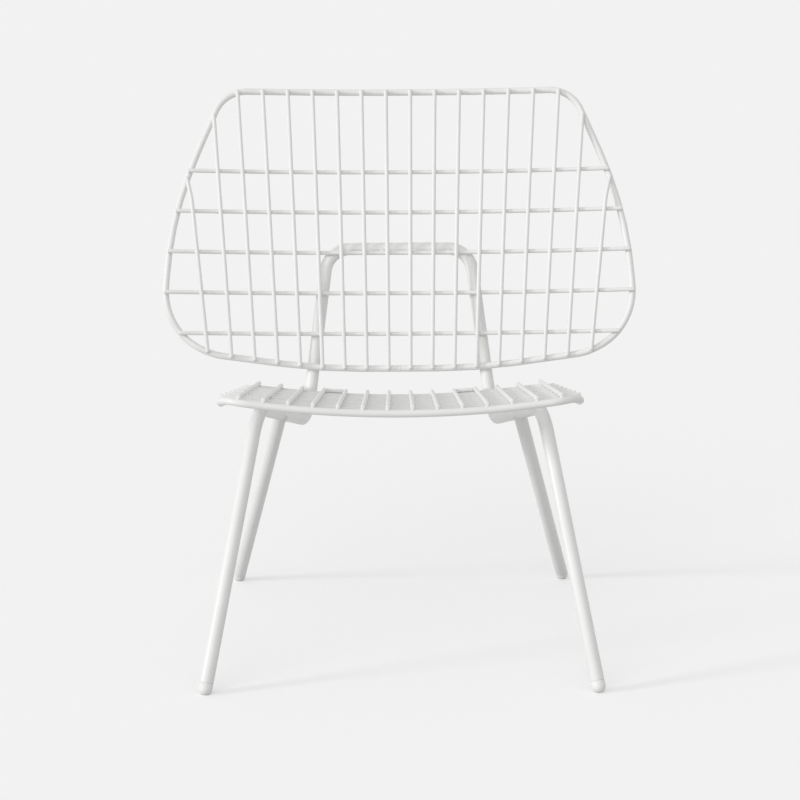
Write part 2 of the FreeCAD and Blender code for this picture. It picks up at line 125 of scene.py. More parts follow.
def powder_grain_group():
    """The skin of a powder coat: orange peel, slow drift in thickness and a few dust nibs."""
    group = bpy.data.node_groups.new("powder_grain", "ShaderNodeTree")
    for name, kind, value in (
        ("Base Color", "NodeSocketColor", (0.8, 0.8, 0.8, 1.0)),
        ("Thin Color", "NodeSocketColor", (0.7, 0.7, 0.7, 1.0)),
        ("Peel Per Metre", "NodeSocketFloat", 900.0),
        ("Drift Per Metre", "NodeSocketFloat", 22.0),
        ("Nib Per Metre", "NodeSocketFloat", 210.0),
        ("Gloss Low", "NodeSocketFloat", 0.3),
        ("Gloss High", "NodeSocketFloat", 0.45),
    ):
        socket = group.interface.new_socket(name, in_out="INPUT", socket_type=kind)
        socket.default_value = value
    for name, kind in (
        ("Color", "NodeSocketColor"), ("Roughness", "NodeSocketFloat"), ("Height", "NodeSocketFloat"),
    ):
        group.interface.new_socket(name, in_out="OUTPUT", socket_type=kind)
    nodes, links = group.nodes, group.links
    given = nodes.new("NodeGroupInput")
    result = nodes.new("NodeGroupOutput")
    place = nodes.new("ShaderNodeTexCoord")
    peel = nodes.new("ShaderNodeTexNoise")
    peel.inputs["Detail"].default_value = PEEL_DETAIL
    drift = nodes.new("ShaderNodeTexNoise")
    drift.inputs["Detail"].default_value = DRIFT_DETAIL
    nib = nodes.new("ShaderNodeTexVoronoi")
    for texture, name in (
        (peel, "Peel Per Metre"), (drift, "Drift Per Metre"), (nib, "Nib Per Metre"),
    ):
        links.new(place.outputs["Object"], texture.inputs["Vector"])
        links.new(given.outputs[name], texture.inputs["Scale"])
    nib_mask = nodes.new("ShaderNodeMapRange")
    nib_mask.inputs["From Min"].default_value = 0.0
    nib_mask.inputs["From Max"].default_value = NIB_RADIUS
    nib_mask.inputs["To Min"].default_value = 1.0
    nib_mask.inputs["To Max"].default_value = 0.0
    links.new(nib.outputs["Distance"], nib_mask.inputs["Value"])
    tint = nodes.new("ShaderNodeMix")
    tint.data_type = "RGBA"
    thin_mask = nodes.new("ShaderNodeMapRange")
    thin_mask.inputs["From Min"].default_value = THIN_FROM
    thin_mask.inputs["From Max"].default_value = THIN_TO
    links.new(drift.outputs["Fac"], thin_mask.inputs["Value"])
    links.new(thin_mask.outputs["Result"], tint.inputs["Factor"])
    links.new(given.outputs["Base Color"], tint.inputs["A"])
    links.new(given.outputs["Thin Color"], tint.inputs["B"])
    links.new(tint.outputs["Result"], result.inputs["Color"])
    gloss = nodes.new("ShaderNodeMapRange")
    links.new(drift.outputs["Fac"], gloss.inputs["Value"])
    links.new(given.outputs["Gloss Low"], gloss.inputs["To Min"])
    links.new(given.outputs["Gloss High"], gloss.inputs["To Max"])
    links.new(gloss.outputs["Result"], result.inputs["Roughness"])
    height = nodes.new("ShaderNodeMath")
    height.operation = "MULTIPLY_ADD"
    height.inputs[1].default_value = NIB_HEIGHT
    links.new(nib_mask.outputs["Result"], height.inputs[0])
    links.new(peel.outputs["Fac"], height.inputs[2])
    links.new(height.outputs["Value"], result.inputs["Height"])
    return group


POWDER_GRAIN = powder_grain_group()
COAT_WHITE, COAT_THIN = (0.86, 0.86, 0.85), (0.83, 0.83, 0.815)
BUMP_STRENGTH = 0.14


def powder_coat(name, peel, gloss, depth, base=COAT_WHITE, thin=COAT_THIN):
    """A satin powder coat, with its own peel per metre, gloss range and depth of peel."""
    material = bpy.data.materials.new(name)
    material.use_nodes = True
    nodes, links = material.node_tree.nodes, material.node_tree.links
    shader = nodes["Principled BSDF"]
    shader.inputs["Specular IOR Level"].default_value = 0.42
    shader.inputs["Coat Roughness"].default_value = 0.28
    shader.inputs["Coat Weight"].default_value = 0.12
    grain = nodes.new("ShaderNodeGroup")
    grain.node_tree = POWDER_GRAIN
    grain.inputs["Base Color"].default_value = (*base, 1.0)
    grain.inputs["Thin Color"].default_value = (*thin, 1.0)
    grain.inputs["Peel Per Metre"].default_value = peel
    grain.inputs["Gloss Low"].default_value = gloss[0]
    grain.inputs["Gloss High"].default_value = gloss[1]
    bump = nodes.new("ShaderNodeBump")
    bump.inputs["Strength"].default_value = BUMP_STRENGTH
    bump.inputs["Distance"].default_value = depth
    links.new(grain.outputs["Height"], bump.inputs["Height"])
    links.new(grain.outputs["Color"], shader.inputs["Base Color"])
    links.new(grain.outputs["Roughness"], shader.inputs["Roughness"])
    links.new(bump.outputs["Normal"], shader.inputs["Normal"])
    return material


WIRE_COAT = powder_coat("wire_powder_coat", peel=1100.0, gloss=(0.34, 0.48), depth=0.00006)


def chair_piece(bm, name, nodes, material):
    """Make a finished piece of a bmesh: it stands for its CAD nodes and rides on the chair."""
    bmesh.ops.recalc_face_normals(bm, faces=bm.faces)
    for face in bm.faces:
        face.smooth = True
    mesh = bpy.data.meshes.new(name)
    bm.to_mesh(mesh)
    bm.free()
    mesh.materials.append(material)
    piece = bpy.data.objects.new(name, mesh)
    bpy.context.scene.collection.objects.link(piece)
    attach(piece, "root")
    if nodes:
        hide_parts(*nodes)


def wire_piece(line, name, node):
    """One wire of a mesh, drawn in place of its CAD node."""
    bm = bmesh.new()
    draw_rod(bm, line, WIRE_WIDTH, WIRE_SIDES)
    chair_piece(bm, name, [node], WIRE_COAT)


seat_rib_lines = [rod_axis(f"seat_rib_{number:02d}", 1) for number in range(1, SEAT_RIB_COUNT + 1)]
for number, line in enumerate(seat_rib_lines, 1):
    wire_piece(line, f"seat_wire_lengthwise_{number:02d}", f"seat_rib_{number:02d}")


# Seat rim: one ring of 9.5 mm steel rod, bent over four corners and dished with the
# seat, welded end to end under the middle of the rear. It lies right under the ribs at
# the front and rear, and dips at the sides to pass below the cross wires.
RIM_WIDTH, RIM_SIDES = 0.0095, 28
WELD_GAP = 0.0001
WIRE_LAYER = WIRE_WIDTH + WELD_GAP
RIM_UNDER_WIRE = (WIRE_WIDTH + RIM_WIDTH) / 2 + WELD_GAP
WIRE_PAST_RIM = 0.0015
RAMP_CLEAR_OF_WIRE = 0.0015
RAMP_MARGIN = WIRE_WIDTH / 2 + RAMP_CLEAR_OF_WIRE
LINE_SPACING = 0.008
BEND_STEP = math.radians(4)
SEAT_SLOPE = math.radians(7.3)
SEAT_DISH_RADIUS = 1.4
SEAT_DEPTH = 0.4416
SEAT_FRONT_HALF, SEAT_REAR_HALF = 0.2285, 0.216
SEAT_FRONT_ROUND, SEAT_REAR_ROUND = 0.038, 0.05
SEAT_CROSS_COUNT = 7
SEAT_CROSS_PITCH = SEAT_DEPTH / (SEAT_CROSS_COUNT + 1)
SEAT_FRONT_RAMP, SEAT_REAR_RAMP = 0.045, 0.032
RIM_COAT = powder_coat("rim_powder_coat", peel=800.0, gloss=(0.32, 0.46), depth=0.00008)


class MeshPanel:
    """A flat mesh rolled to a curve: s runs across, v along its wires, depth behind them."""

    def __init__(self, base, along, ahead, radius, growth):
        self.base = base
        self.along = along
        self.ahead = ahead
        self.radius = radius
        self.growth = growth

    def point(self, s, v, depth=0.0):
        """The place at s and v, or a depth behind it."""
        radius = self.radius * (1 + self.growth * v)
        sideways = (radius + depth) * math.sin(s / radius)
        forward = radius - (radius + depth) * math.cos(s / radius)
        return self.base + ACROSS * sideways + self.along * v + self.ahead * forward

    def measure(self, place):
        """The s, v and depth of a place, and the way from there to the hollow side."""
        from_base = place - self.base
        v = from_base.dot(self.along)
        radius = self.radius * (1 + self.growth * v)
        spoke = self.base + self.along * v + self.ahead * radius - place
        angle = math.atan2(from_base.x, radius - from_base.dot(self.ahead))
        return radius * angle, v, spoke.length - radius, spoke.normalized()


def bent_line(corners, closed=False, spacing=None):
    """Points along straight runs joined by tangent bends; corners are (place, radius) pairs."""
    count = len(corners)
    line = []
    for index, (here, radius) in enumerate(corners):
        if not closed and index in (0, count - 1):
            line.append(here)
            continue
        before = corners[index - 1][0] - here
        after = corners[(index + 1) % count][0] - here
        half_angle = before.angle(after) / 2
        trim = min(radius / math.tan(half_angle), before.length / 2, after.length / 2)
        fitted = trim * math.tan(half_angle)
        middle = (before.normalized() + after.normalized()).normalized()
        centre = here + middle * (fitted / math.sin(half_angle))
        spoke = here + before.normalized() * trim - centre
        turn = math.pi - 2 * half_angle
        axis = before.cross(after)
        steps = max(2, math.ceil(turn / BEND_STEP))
        for step in range(steps + 1):
            line.append(centre + Matrix.Rotation(-turn * step / steps, 3, axis) @ spoke)
    if not spacing:
        return line
    spaced = []
    for start, finish in zip(line, line[1:] + line[:1]):
        spaced.append(start)
        extra = math.ceil((finish - start).length / spacing)
        if closed or finish is not line[0]:
            spaced += [start.lerp(finish, share / extra) for share in range(1, extra)]
    return spaced


def rim_depth(v, low_cross, high_cross, low_ramp, high_ramp):
    """How far behind the straight wires the rim lies at v, between its two ramps or past them."""
    low_share = (v - (low_cross - RAMP_MARGIN - low_ramp)) / low_ramp
    high_share = (high_cross + RAMP_MARGIN + high_ramp - v) / high_ramp
    share = max(0.0, min(1.0, low_share, high_share))
    return RIM_UNDER_WIRE + share * share * (3 - 2 * share) * WIRE_LAYER


def rim_line(panel, half_corners, ramps):
    """The rim's centre line all the way round, from the right half of its flat outline."""
    corners = [(Vector((s, v, 0)), radius) for s, v, radius in half_corners]
    corners += [(Vector((-s, v, 0)), radius) for s, v, radius in reversed(half_corners)]
    flat = bent_line(corners, closed=True, spacing=LINE_SPACING)
    return [panel.point(place.x, place.y, rim_depth(place.y, *ramps)) for place in flat]


def mesh_base(left_wire, right_wire, along, ahead, radius):
    """The middle of a mesh's first edge, from the two straight wires nearest to it."""
    sag = radius - math.sqrt(radius ** 2 - right_wire[0].x ** 2)
    return (left_wire[0] + right_wire[0]) / 2 + along * WIRE_PAST_RIM - ahead * sag


seat_along = Vector((0, math.cos(SEAT_SLOPE), -math.sin(SEAT_SLOPE)))
seat_ahead = Vector((0, math.sin(SEAT_SLOPE), math.cos(SEAT_SLOPE)))
middle_ribs = seat_rib_lines[SEAT_RIB_COUNT // 2 - 1:SEAT_RIB_COUNT // 2 + 1]
seat_base = mesh_base(*middle_ribs, seat_along, seat_ahead, SEAT_DISH_RADIUS)
seat_panel = MeshPanel(seat_base, seat_along, seat_ahead, SEAT_DISH_RADIUS, 0.0)
seat_corners = (
    (SEAT_FRONT_HALF, 0.0, SEAT_FRONT_ROUND),
    (SEAT_REAR_HALF, SEAT_DEPTH, SEAT_REAR_ROUND),
)
seat_levels = [SEAT_CROSS_PITCH * number for number in range(1, SEAT_CROSS_COUNT + 1)]
seat_ramps = (seat_levels[0], seat_levels[-1], SEAT_FRONT_RAMP, SEAT_REAR_RAMP)
seat_rim_line = rim_line(seat_panel, seat_corners, seat_ramps)
bm = bmesh.new()
draw_rod(bm, seat_rim_line, RIM_WIDTH, RIM_SIDES, closed=True)
chair_piece(bm, "seat_edge_ring", ["seat_rim"], RIM_COAT)


# Seat cross wires: seven 6 mm wires rolled to the dish of the seat. They lie under the
# ribs and on the rim's sides, which dip to take them, and are spot-welded at each crossing.
ARC_STEPS = 48


def rolled_wire_line(panel, node, v):
    """The wire's axis across the panel at v, as far out as the CAD wire reaches."""
    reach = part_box(node)[1].x
    radius = panel.radius * (1 + panel.growth * v) + WIRE_LAYER
    end = math.asin(reach / radius)
    s_end = (end - WIRE_WIDTH / 2 * math.sin(end) / radius) * panel.radius * (1 + panel.growth * v)
    shares = (2 * step / ARC_STEPS - 1 for step in range(ARC_STEPS + 1))
    return [panel.point(s_end * share, v, WIRE_LAYER) for share in shares]


def rolled_wires(panel, levels, name, node):
    """All the cross wires of one mesh, with a list of their axes for the welds."""
    lines = []
    for number, v in enumerate(levels, 1):
        lines.append(rolled_wire_line(panel, f"{node}_{number}", v))
        wire_piece(lines[-1], f"{name}_{number}", f"{node}_{number}")
    return lines


seat_cross_lines = rolled_wires(
    seat_panel, seat_levels, "seat_wire_crosswise", "seat_cross_wire",
)


# Back rim: one ring of 9.5 mm rod, wide and round at the elbows and narrower at the top.
# It lies behind the uprights at top and bottom, and behind the cross wires at the sides.
# Its ends meet in a butt weld in the middle of the bottom, as the seat rim's do at the rear.
BACK_UPRIGHT_COUNT = 18
BACK_LEAN = math.radians(15)
BACK_CURVE_RADIUS = 1.85
BACK_GROWTH = 1 / 3.27
BACK_CROSS_COUNT = 5
BACK_CROSS_FIRST, BACK_CROSS_PITCH = 0.0504, 0.0593
BACK_BOTTOM_RAMP, BACK_TOP_RAMP = 0.022, 0.075
BACK_BOTTOM_FLAT_HALF, BACK_BOTTOM_BEND = 0.112, 0.9
BACK_ELBOW_HALF, BACK_ELBOW_RISE, BACK_ELBOW_BEND = 0.3415, 0.0285, 0.094
BACK_WAIST_HALF, BACK_WAIST_RISE, BACK_WAIST_BEND = 0.329, 0.226, 0.575
BACK_TOP_HALF, BACK_HEIGHT, BACK_TOP_BEND = 0.2525, 0.4063, 0.05
BUTT_WELD_LENGTH, BUTT_WELD_PROUD, BUTT_WELD_ROUND = 0.0036, 0.0007, 0.001

back_along = Vector((0, math.sin(BACK_LEAN), math.cos(BACK_LEAN)))
back_ahead = Vector((0, -math.cos(BACK_LEAN), math.sin(BACK_LEAN)))
back_upright_lines = {
    number: rod_axis(f"back_upright_{number:02d}", 2) for number in range(2, BACK_UPRIGHT_COUNT)
}
middle_uprights = [back_upright_lines[BACK_UPRIGHT_COUNT // 2 + share] for share in (0, 1)]
back_base = mesh_base(*middle_uprights, back_along, back_ahead, BACK_CURVE_RADIUS)
back_panel = MeshPanel(back_base, back_along, back_ahead, BACK_CURVE_RADIUS, BACK_GROWTH)
back_corners = (
    (BACK_BOTTOM_FLAT_HALF, 0.0, BACK_BOTTOM_BEND),
    (BACK_ELBOW_HALF, BACK_ELBOW_RISE, BACK_ELBOW_BEND),
    (BACK_WAIST_HALF, BACK_WAIST_RISE, BACK_WAIST_BEND),
    (BACK_TOP_HALF, BACK_HEIGHT, BACK_TOP_BEND),
)
back_levels = [BACK_CROSS_FIRST + BACK_CROSS_PITCH * number for number in range(BACK_CROSS_COUNT)]
back_ramps = (back_levels[0], back_levels[-1], BACK_BOTTOM_RAMP, BACK_TOP_RAMP)
back_rim_line = rim_line(back_panel, back_corners, back_ramps)
bm = bmesh.new()
draw_rod(bm, back_rim_line, RIM_WIDTH, RIM_SIDES, closed=True)
chair_piece(bm, "back_edge_ring", ["back_rim"], RIM_COAT)

bm = bmesh.new()
reach = ACROSS * BUTT_WELD_LENGTH / 2
for panel, v in ((back_panel, 0), (seat_panel, SEAT_DEPTH)):
    seam = panel.point(0, v, RIM_UNDER_WIRE)
    width = RIM_WIDTH + BUTT_WELD_PROUD
    draw_rod(bm, (seam - reach, seam + reach), width, RIM_SIDES, end_round=BUTT_WELD_ROUND)
chair_piece(bm, "rim_butt_welds", [], RIM_COAT)


# Back uprights: eighteen 6 mm wires that fan out from the bottom rim to the top. The
# outer two are shorter: they bend back near their tips to land on the rim's sides.
KICK_LENGTH = 0.032
KICK_INWARDS = 0.0028
KICK_BEND_RADIUS = 0.06
TIP_BELOW_WIRE = 0.0105
tip_v = back_levels[-1] - TIP_BELOW_WIRE
tip_place = min(
    back_rim_line, key=lambda place: abs(back_panel.measure(place)[1] - tip_v) - place.x
)
tip_s = back_panel.measure(tip_place)[0]

for number, side in ((1, -1), (BACK_UPRIGHT_COUNT, 1)):
    lowest_first = rod_corners(f"back_upright_{number:02d}", 2)
    below = lowest_first[0][2] + WIRE_WIDTH / 2
    bottom = middle_of([corner for corner in lowest_first if corner[2] < below])
    low_s, low_v = back_panel.measure(bottom)[:2]
    rise = (Vector((side * tip_s, tip_v)) - Vector((low_s, low_v))).normalized() * KICK_LENGTH
    knee = back_panel.point(side * (tip_s - KICK_INWARDS) - rise.x, tip_v - rise.y)
    tip = back_panel.point(side * tip_s, tip_v, rim_depth(tip_v, *back_ramps) - RIM_UNDER_WIRE)
    back_upright_lines[number] = bent_line([(bottom, 0), (knee, KICK_BEND_RADIUS), (tip, 0)])
for number, line in back_upright_lines.items():
    wire_piece(line, f"back_wire_upright_{number:02d}", f"back_upright_{number:02d}")


# Back cross wires: five 6 mm wires rolled to the back's hollow. They lie behind the
# uprights and on the rim's sides, and are spot-welded at every crossing.
back_cross_lines = rolled_wires(
    back_panel, back_levels, "back_wire_crosswise", "back_cross_wire",
)


# Spot welds: where two wires cross, or a wire lies on a rim, the steel was pressed and
# melted together. The coat runs over the small flattened bead that is left in the gap.
SPOT_ROUND, SPOT_FLAT = 0.0026, 0.0011
RIM_SPOT_ROUND, RIM_SPOT_FLAT = 0.0031, 0.0016
WIRE_PAST_CROSS_END = 0.0035
SPOT_SPREAD = 0.14
SPOT_SIDES, SPOT_RINGS = 10, 6
weld_luck = random.Random(7)


def spot_weld(bm, place, way, size, flat):
    """A flattened bead at a crossing, its thin way along the line between the two rods."""
    turn = way.to_track_quat("Z", "Y").to_matrix().to_4x4()
    size *= 1 + weld_luck.uniform(-SPOT_SPREAD, SPOT_SPREAD)
    shape = Matrix.Diagonal((size, size, flat, 1))
    matrix = Matrix.Translation(place) @ turn @ shape
    bmesh.ops.create_uvsphere(
        bm, u_segments=SPOT_SIDES, v_segments=SPOT_RINGS, radius=1, matrix=matrix,
    )


def place_at(panel, line, v):
    """Where a wire that runs along the panel passes the level v."""
    for start, finish in zip(line, line[1:]):
        low_v, high_v = panel.measure(start)[1], panel.measure(finish)[1]
        if low_v <= v <= high_v:
            return start.lerp(finish, (v - low_v) / (high_v - low_v))
    return None


def weld_mesh(panel, wires, levels, cross_lines, name):
    """All the spot welds of one mesh: wire on wire, and both kinds of wire on the rim."""
    bm = bmesh.new()
    for line in wires:
        for v in levels:
            place = place_at(panel, line, v)
            if place:
                inward = panel.measure(place)[3]
                spot_weld(bm, place - inward * WIRE_LAYER / 2, inward, SPOT_ROUND, SPOT_FLAT)
        for end, beside in ((line[0], line[1]), (line[-1], line[-2])):
            place = end + (beside - end).normalized() * WIRE_PAST_RIM
            inward = panel.measure(place)[3]
            spot_weld(bm, place - inward * WIRE_WIDTH / 2, inward, RIM_SPOT_ROUND, RIM_SPOT_FLAT)
    for end in (line[index] for line in cross_lines for index in (0, -1)):
        inward = panel.measure(end)[3]
        place = end - inward * WIRE_WIDTH / 2 - ACROSS * math.copysign(WIRE_PAST_CROSS_END, end.x)
        spot_weld(bm, place, inward, RIM_SPOT_ROUND, RIM_SPOT_FLAT)
    chair_piece(bm, name, [], WIRE_COAT)


weld_mesh(seat_panel, seat_rib_lines, seat_levels, seat_cross_lines, "seat_spot_welds")
weld_mesh(back_panel, back_upright_lines.values(), back_levels, back_cross_lines, "back_spot_welds")


# Frame tube: one 18 mm steel tube from the right front foot over the side rail, up behind
# the back as an arch and down to the left front foot, with six bends.
TUBE_WIDTH, TUBE_SIDES = 0.018, 48
TUBE_END_ROUND = 0.0005
SEAT_SETBACK, SEAT_HEIGHT = 0.045, 0.3573
FRONT_FOOT_HALF, REAR_FOOT_HALF, WHEELBASE = 0.2475, 0.2426, 0.569
GLIDE_CENTRE_HEIGHT = 0.0075
LEG_ABOVE_CENTRE = 0.00665
LUG_PITCHES_BACK = 2.5
FRONT_BEND_HALF, FRONT_BEND_AHEAD_OF_LUG, FRONT_BEND_BELOW_SEAT = 0.1845, 0.0299, 0.0193
REAR_BEND_HALF, REAR_BEND_BELOW_SEAT = 0.1345, 0.0362
ARCH_HALF, ARCH_BEHIND_BACK, BAR_ABOVE_WIRE = 0.103, 0.01834, 0.0074
FRONT_BEND_ROUND, REAR_BEND_ROUND, ARCH_ROUND = 0.045, 0.045, 0.036
TO_LEFT = Matrix.Diagonal((-1, 1, 1))
SIDES = (("right", Matrix.Identity(3)), ("left", TO_LEFT))
TUBE_COAT = powder_coat("tube_powder_coat", peel=620.0, gloss=(0.3, 0.44), depth=0.0001)

chair_front = seat_base - Vector((0, SEAT_SETBACK, SEAT_HEIGHT))
feet = {
    "front": chair_front + Vector((FRONT_FOOT_HALF, 0, GLIDE_CENTRE_HEIGHT)),
    "rear": chair_front + Vector((REAR_FOOT_HALF, WHEELBASE, GLIDE_CENTRE_HEIGHT)),
}
lug_level = SEAT_CROSS_PITCH * LUG_PITCHES_BACK
front_bend_y = seat_panel.point(0, lug_level).y - FRONT_BEND_AHEAD_OF_LUG
front_bend = Vector((FRONT_BEND_HALF, front_bend_y, seat_base.z - FRONT_BEND_BELOW_SEAT))
rear_bend_height = seat_base.z + seat_along.z * SEAT_DEPTH - REAR_BEND_BELOW_SEAT
low_v = (rear_bend_height - back_base.z) / math.cos(BACK_LEAN)
arch_low = back_base + ACROSS * REAR_BEND_HALF + back_along * low_v - back_ahead * ARCH_BEHIND_BACK
bar_wire_level = back_levels[BACK_CROSS_COUNT // 2]
bar_from_wire = (WIRE_WIDTH + TUBE_WIDTH) / 2 + WELD_GAP
bar_behind_back = WIRE_LAYER + math.sqrt(bar_from_wire ** 2 - BAR_ABOVE_WIRE ** 2)
arch_corner = back_base + ACROSS * ARCH_HALF - back_ahead * bar_behind_back
arch_corner += back_along * (bar_wire_level + BAR_ABOVE_WIRE)

front_leg_way = (front_bend - feet["front"]).normalized()
right_half = [
    (feet["front"] + front_leg_way * LEG_ABOVE_CENTRE, 0),
    (front_bend, FRONT_BEND_ROUND),
    (arch_low, REAR_BEND_ROUND),
    (arch_corner, ARCH_ROUND),
]
left_half = [(TO_LEFT @ place, radius) for place, radius in reversed(right_half)]
bm = bmesh.new()
draw_rod(bm, bent_line(right_half + left_half), TUBE_WIDTH, TUBE_SIDES, end_round=TUBE_END_ROUND)
chair_piece(bm, "bent_frame_tube", ["frame_tube"], TUBE_COAT)


# Rear legs: two straight 18 mm tubes, saddle-cut at the top and welded under the side
# rails, with a rippled bead all round the joint.
LEG_JOINT_SETBACK = 0.297
LEG_INTO_RAIL = 0.003
BEAD_WIDTH, BEAD_SIDES, BEAD_STEPS = 0.0034, 10, 72
BEAD_RIPPLE, RIPPLE_STEPS = 0.13, 3
rail_way = (arch_low - front_bend).normalized()
leg_joint = front_bend + rail_way * ((chair_front.y + LEG_JOINT_SETBACK - front_bend.y) / rail_way.y)
rear_leg_way = (leg_joint - feet["rear"]).normalized()


def saddle_line(leg_middle, leg_way, rail_middle, rail_heading, radius):
    """The closed curve on which a leg meets a rail of the same radius."""
    beside = leg_way.cross(rail_heading).normalized()
    forward = beside.cross(leg_way)
    line = []
    for step in range(BEAD_STEPS):
        angle = 2 * math.pi * step / BEAD_STEPS
        start = leg_middle + (beside * math.cos(angle) + forward * math.sin(angle)) * radius
        across = leg_way - rail_heading * leg_way.dot(rail_heading)
        offset = start - rail_middle
        offset -= rail_heading * offset.dot(rail_heading)
        half_b = offset.dot(across)
        root = max(0.0, half_b ** 2 - across.length_squared * (offset.length_squared - radius ** 2))
        line.append(start + leg_way * (-half_b - math.sqrt(root)) / across.length_squared)
    return line


for side, mirror in SIDES:
    line = [feet["rear"] + rear_leg_way * LEG_ABOVE_CENTRE, leg_joint - rear_leg_way * LEG_INTO_RAIL]
    bm = bmesh.new()
    draw_rod(bm, [mirror @ place for place in line], TUBE_WIDTH, TUBE_SIDES, end_round=TUBE_END_ROUND)
    chair_piece(bm, f"rear_leg_tube_{side}", [f"rear_leg_{side}"], TUBE_COAT)
    saddle = saddle_line(feet["rear"], rear_leg_way, leg_joint, rail_way, TUBE_WIDTH / 2)
    bm = bmesh.new()
    draw_rod(
        bm, [mirror @ place for place in saddle], BEAD_WIDTH, BEAD_SIDES, closed=True,
        swell=lambda index: 1 + BEAD_RIPPLE * (index % RIPPLE_STEPS - 1),
    )
    chair_piece(bm, f"rear_leg_weld_{side}", [], TUBE_COAT)


# Joint welds: the tube and the two meshes are welded where they touch, at the arch legs
# behind the back's bottom rim and the seat's rear rim, and along the arch's crossbar.
JOINT_SPOT_ROUND, JOINT_SPOT_FLAT = 0.0062, 0.0027
BAR_SPOT_ROUND, BAR_SPOT_FLAT = 0.0042, 0.0018
BAR_SPOT_PLACES = (-0.0715, -0.0239, 0.0239, 0.0715)


def joint_weld(bm, rod_line, rod_width, tube_start, tube_finish, size, flat):
    """A spot weld between a rod and a straight tube, where the two come nearest."""
    way = (tube_finish - tube_start).normalized()
    length = (tube_finish - tube_start).length

    def from_tube(place):
        return place - tube_start - way * max(0.0, min(length, (place - tube_start).dot(way)))

    near = min(rod_line, key=lambda place: from_tube(place).length)
    gap = from_tube(near)
    spot_weld(bm, near - gap.normalized() * rod_width / 2, gap, size, flat)


bm = bmesh.new()
for side, mirror in SIDES:
    leg = (mirror @ arch_low, mirror @ arch_corner)
    for line in (back_rim_line, seat_rim_line):
        near_leg = [place for place in line if (mirror @ place).x > 0 and place.y > leg_joint.y]
        joint_weld(bm, near_leg, RIM_WIDTH, *leg, JOINT_SPOT_ROUND, JOINT_SPOT_FLAT)
crossbar = (TO_LEFT @ arch_corner, arch_corner)
for s in BAR_SPOT_PLACES:
    wire_place = [back_panel.point(s, bar_wire_level, WIRE_LAYER)]
    joint_weld(bm, wire_place, WIRE_WIDTH, *crossbar, BAR_SPOT_ROUND, BAR_SPOT_FLAT)
chair_piece(bm, "frame_joint_welds", [], TUBE_COAT)


# Glides: four moulded plastic plugs pushed into the tube ends, with a domed head that
# shows below the tube and is worn flat where the chair stands on it.
GLIDE_WIDTH, GLIDE_HEAD, GLIDE_LIP = 0.018, 0.0065, 0.0005
GLIDE_DOME_STEPS, GLIDE_TURN_STEPS = 10, 48
TOUCHING = 1e-6


def moulded_plastic(name, base, shade):
    """Matte moulded plastic: a fine even grain and slow clouding in the pigment."""
    material = powder_coat(name, 2600.0, (0.5, 0.66), 0.00004, base, shade)
    shader = material.node_tree.nodes["Principled BSDF"]
    shader.inputs["Coat Weight"].default_value = 0.0
    shader.inputs["Specular IOR Level"].default_value = 0.35
    return material


GLIDE_PLASTIC = moulded_plastic("glide_plastic", (0.87, 0.87, 0.85), (0.84, 0.84, 0.82))


def glide_head(bm, centre, way):
    """Spin the head's profile about the leg's axis, and cut it flat on the floor."""
    radius = GLIDE_WIDTH / 2
    profile = []
    for step in range(GLIDE_DOME_STEPS + 1):
        angle = math.radians(90 * step / GLIDE_DOME_STEPS)
        profile.append((radius * math.sin(angle), -radius * math.cos(angle)))
    profile += [
        (radius, GLIDE_HEAD - 2 * GLIDE_LIP), (radius - GLIDE_LIP, GLIDE_HEAD - GLIDE_LIP),
        (radius - GLIDE_LIP, GLIDE_HEAD), (0, GLIDE_HEAD),
    ]
    corners = [bm.verts.new((across, 0, along)) for across, along in profile]
    edges = [bm.edges.new(pair) for pair in zip(corners, corners[1:])]
    bmesh.ops.spin(
        bm, geom=corners + edges, cent=(0, 0, 0), axis=(0, 0, 1), angle=2 * math.pi,
        steps=GLIDE_TURN_STEPS, use_merge=True,
    )
    bmesh.ops.remove_doubles(bm, verts=bm.verts, dist=TOUCHING)
    turn = way.to_track_quat("Z", "Y").to_matrix().to_4x4()
    bmesh.ops.transform(bm, matrix=Matrix.Translation(centre) @ turn, verts=bm.verts)
    cut = bmesh.ops.bisect_plane(
        bm, geom=bm.verts[:] + bm.edges[:] + bm.faces[:], dist=TOUCHING,
        plane_co=(0, 0, 0), plane_no=(0, 0, -1), clear_outer=True,
    )["geom_cut"]
    rim = [item for item in cut if isinstance(item, bmesh.types.BMEdge)]
    bmesh.ops.holes_fill(bm, edges=rim, sides=0)


for end, way in (("front", front_leg_way), ("rear", rear_leg_way)):
    for side, mirror in SIDES:
        bm = bmesh.new()
        glide_head(bm, mirror @ feet[end], mirror @ way)
        glide = [f"{end}_glide_{side}"]
        chair_piece(bm, f"{end}_foot_{side}", glide, GLIDE_PLASTIC)


# Front lugs: a steel strip with rounded corners is welded under the seat ribs on each side,
# with a short round stem that stands on the rail and takes the screw from below.
LUG_LENGTH, LUG_WIDTH, LUG_THICKNESS = 0.032, 0.014, 0.003
LUG_OFF_CENTRE = -0.01
LUG_CORNER_ROUND, LUG_EDGE_ROUND = 0.0035, 0.0004
PLATE_CORNER_STEPS, PLATE_EDGE_STEPS = 6, 2
LUG_STEM_WIDTH, STEM_INTO_RAIL = 0.01, 0.0018
ROUND_STOCK_SIDES = 32
lug_travel = (seat_panel.point(0, lug_level).y - front_bend.y) / rail_way.y
lug_s, lug_v, rail_depth = seat_panel.measure(front_bend + rail_way * lug_travel)[:3]


def panel_matrix(panel, s, v, mirror):
    """From a piece's own axes, across, along and inwards, to a place on a mesh."""
    place = panel.point(s, v)
    inward = panel.measure(place)[3]
    tangent = panel.along.cross(inward)
    turn = Matrix((tangent, panel.along, inward)).transposed().to_4x4()
    return mirror.to_4x4() @ Matrix.Translation(place) @ turn


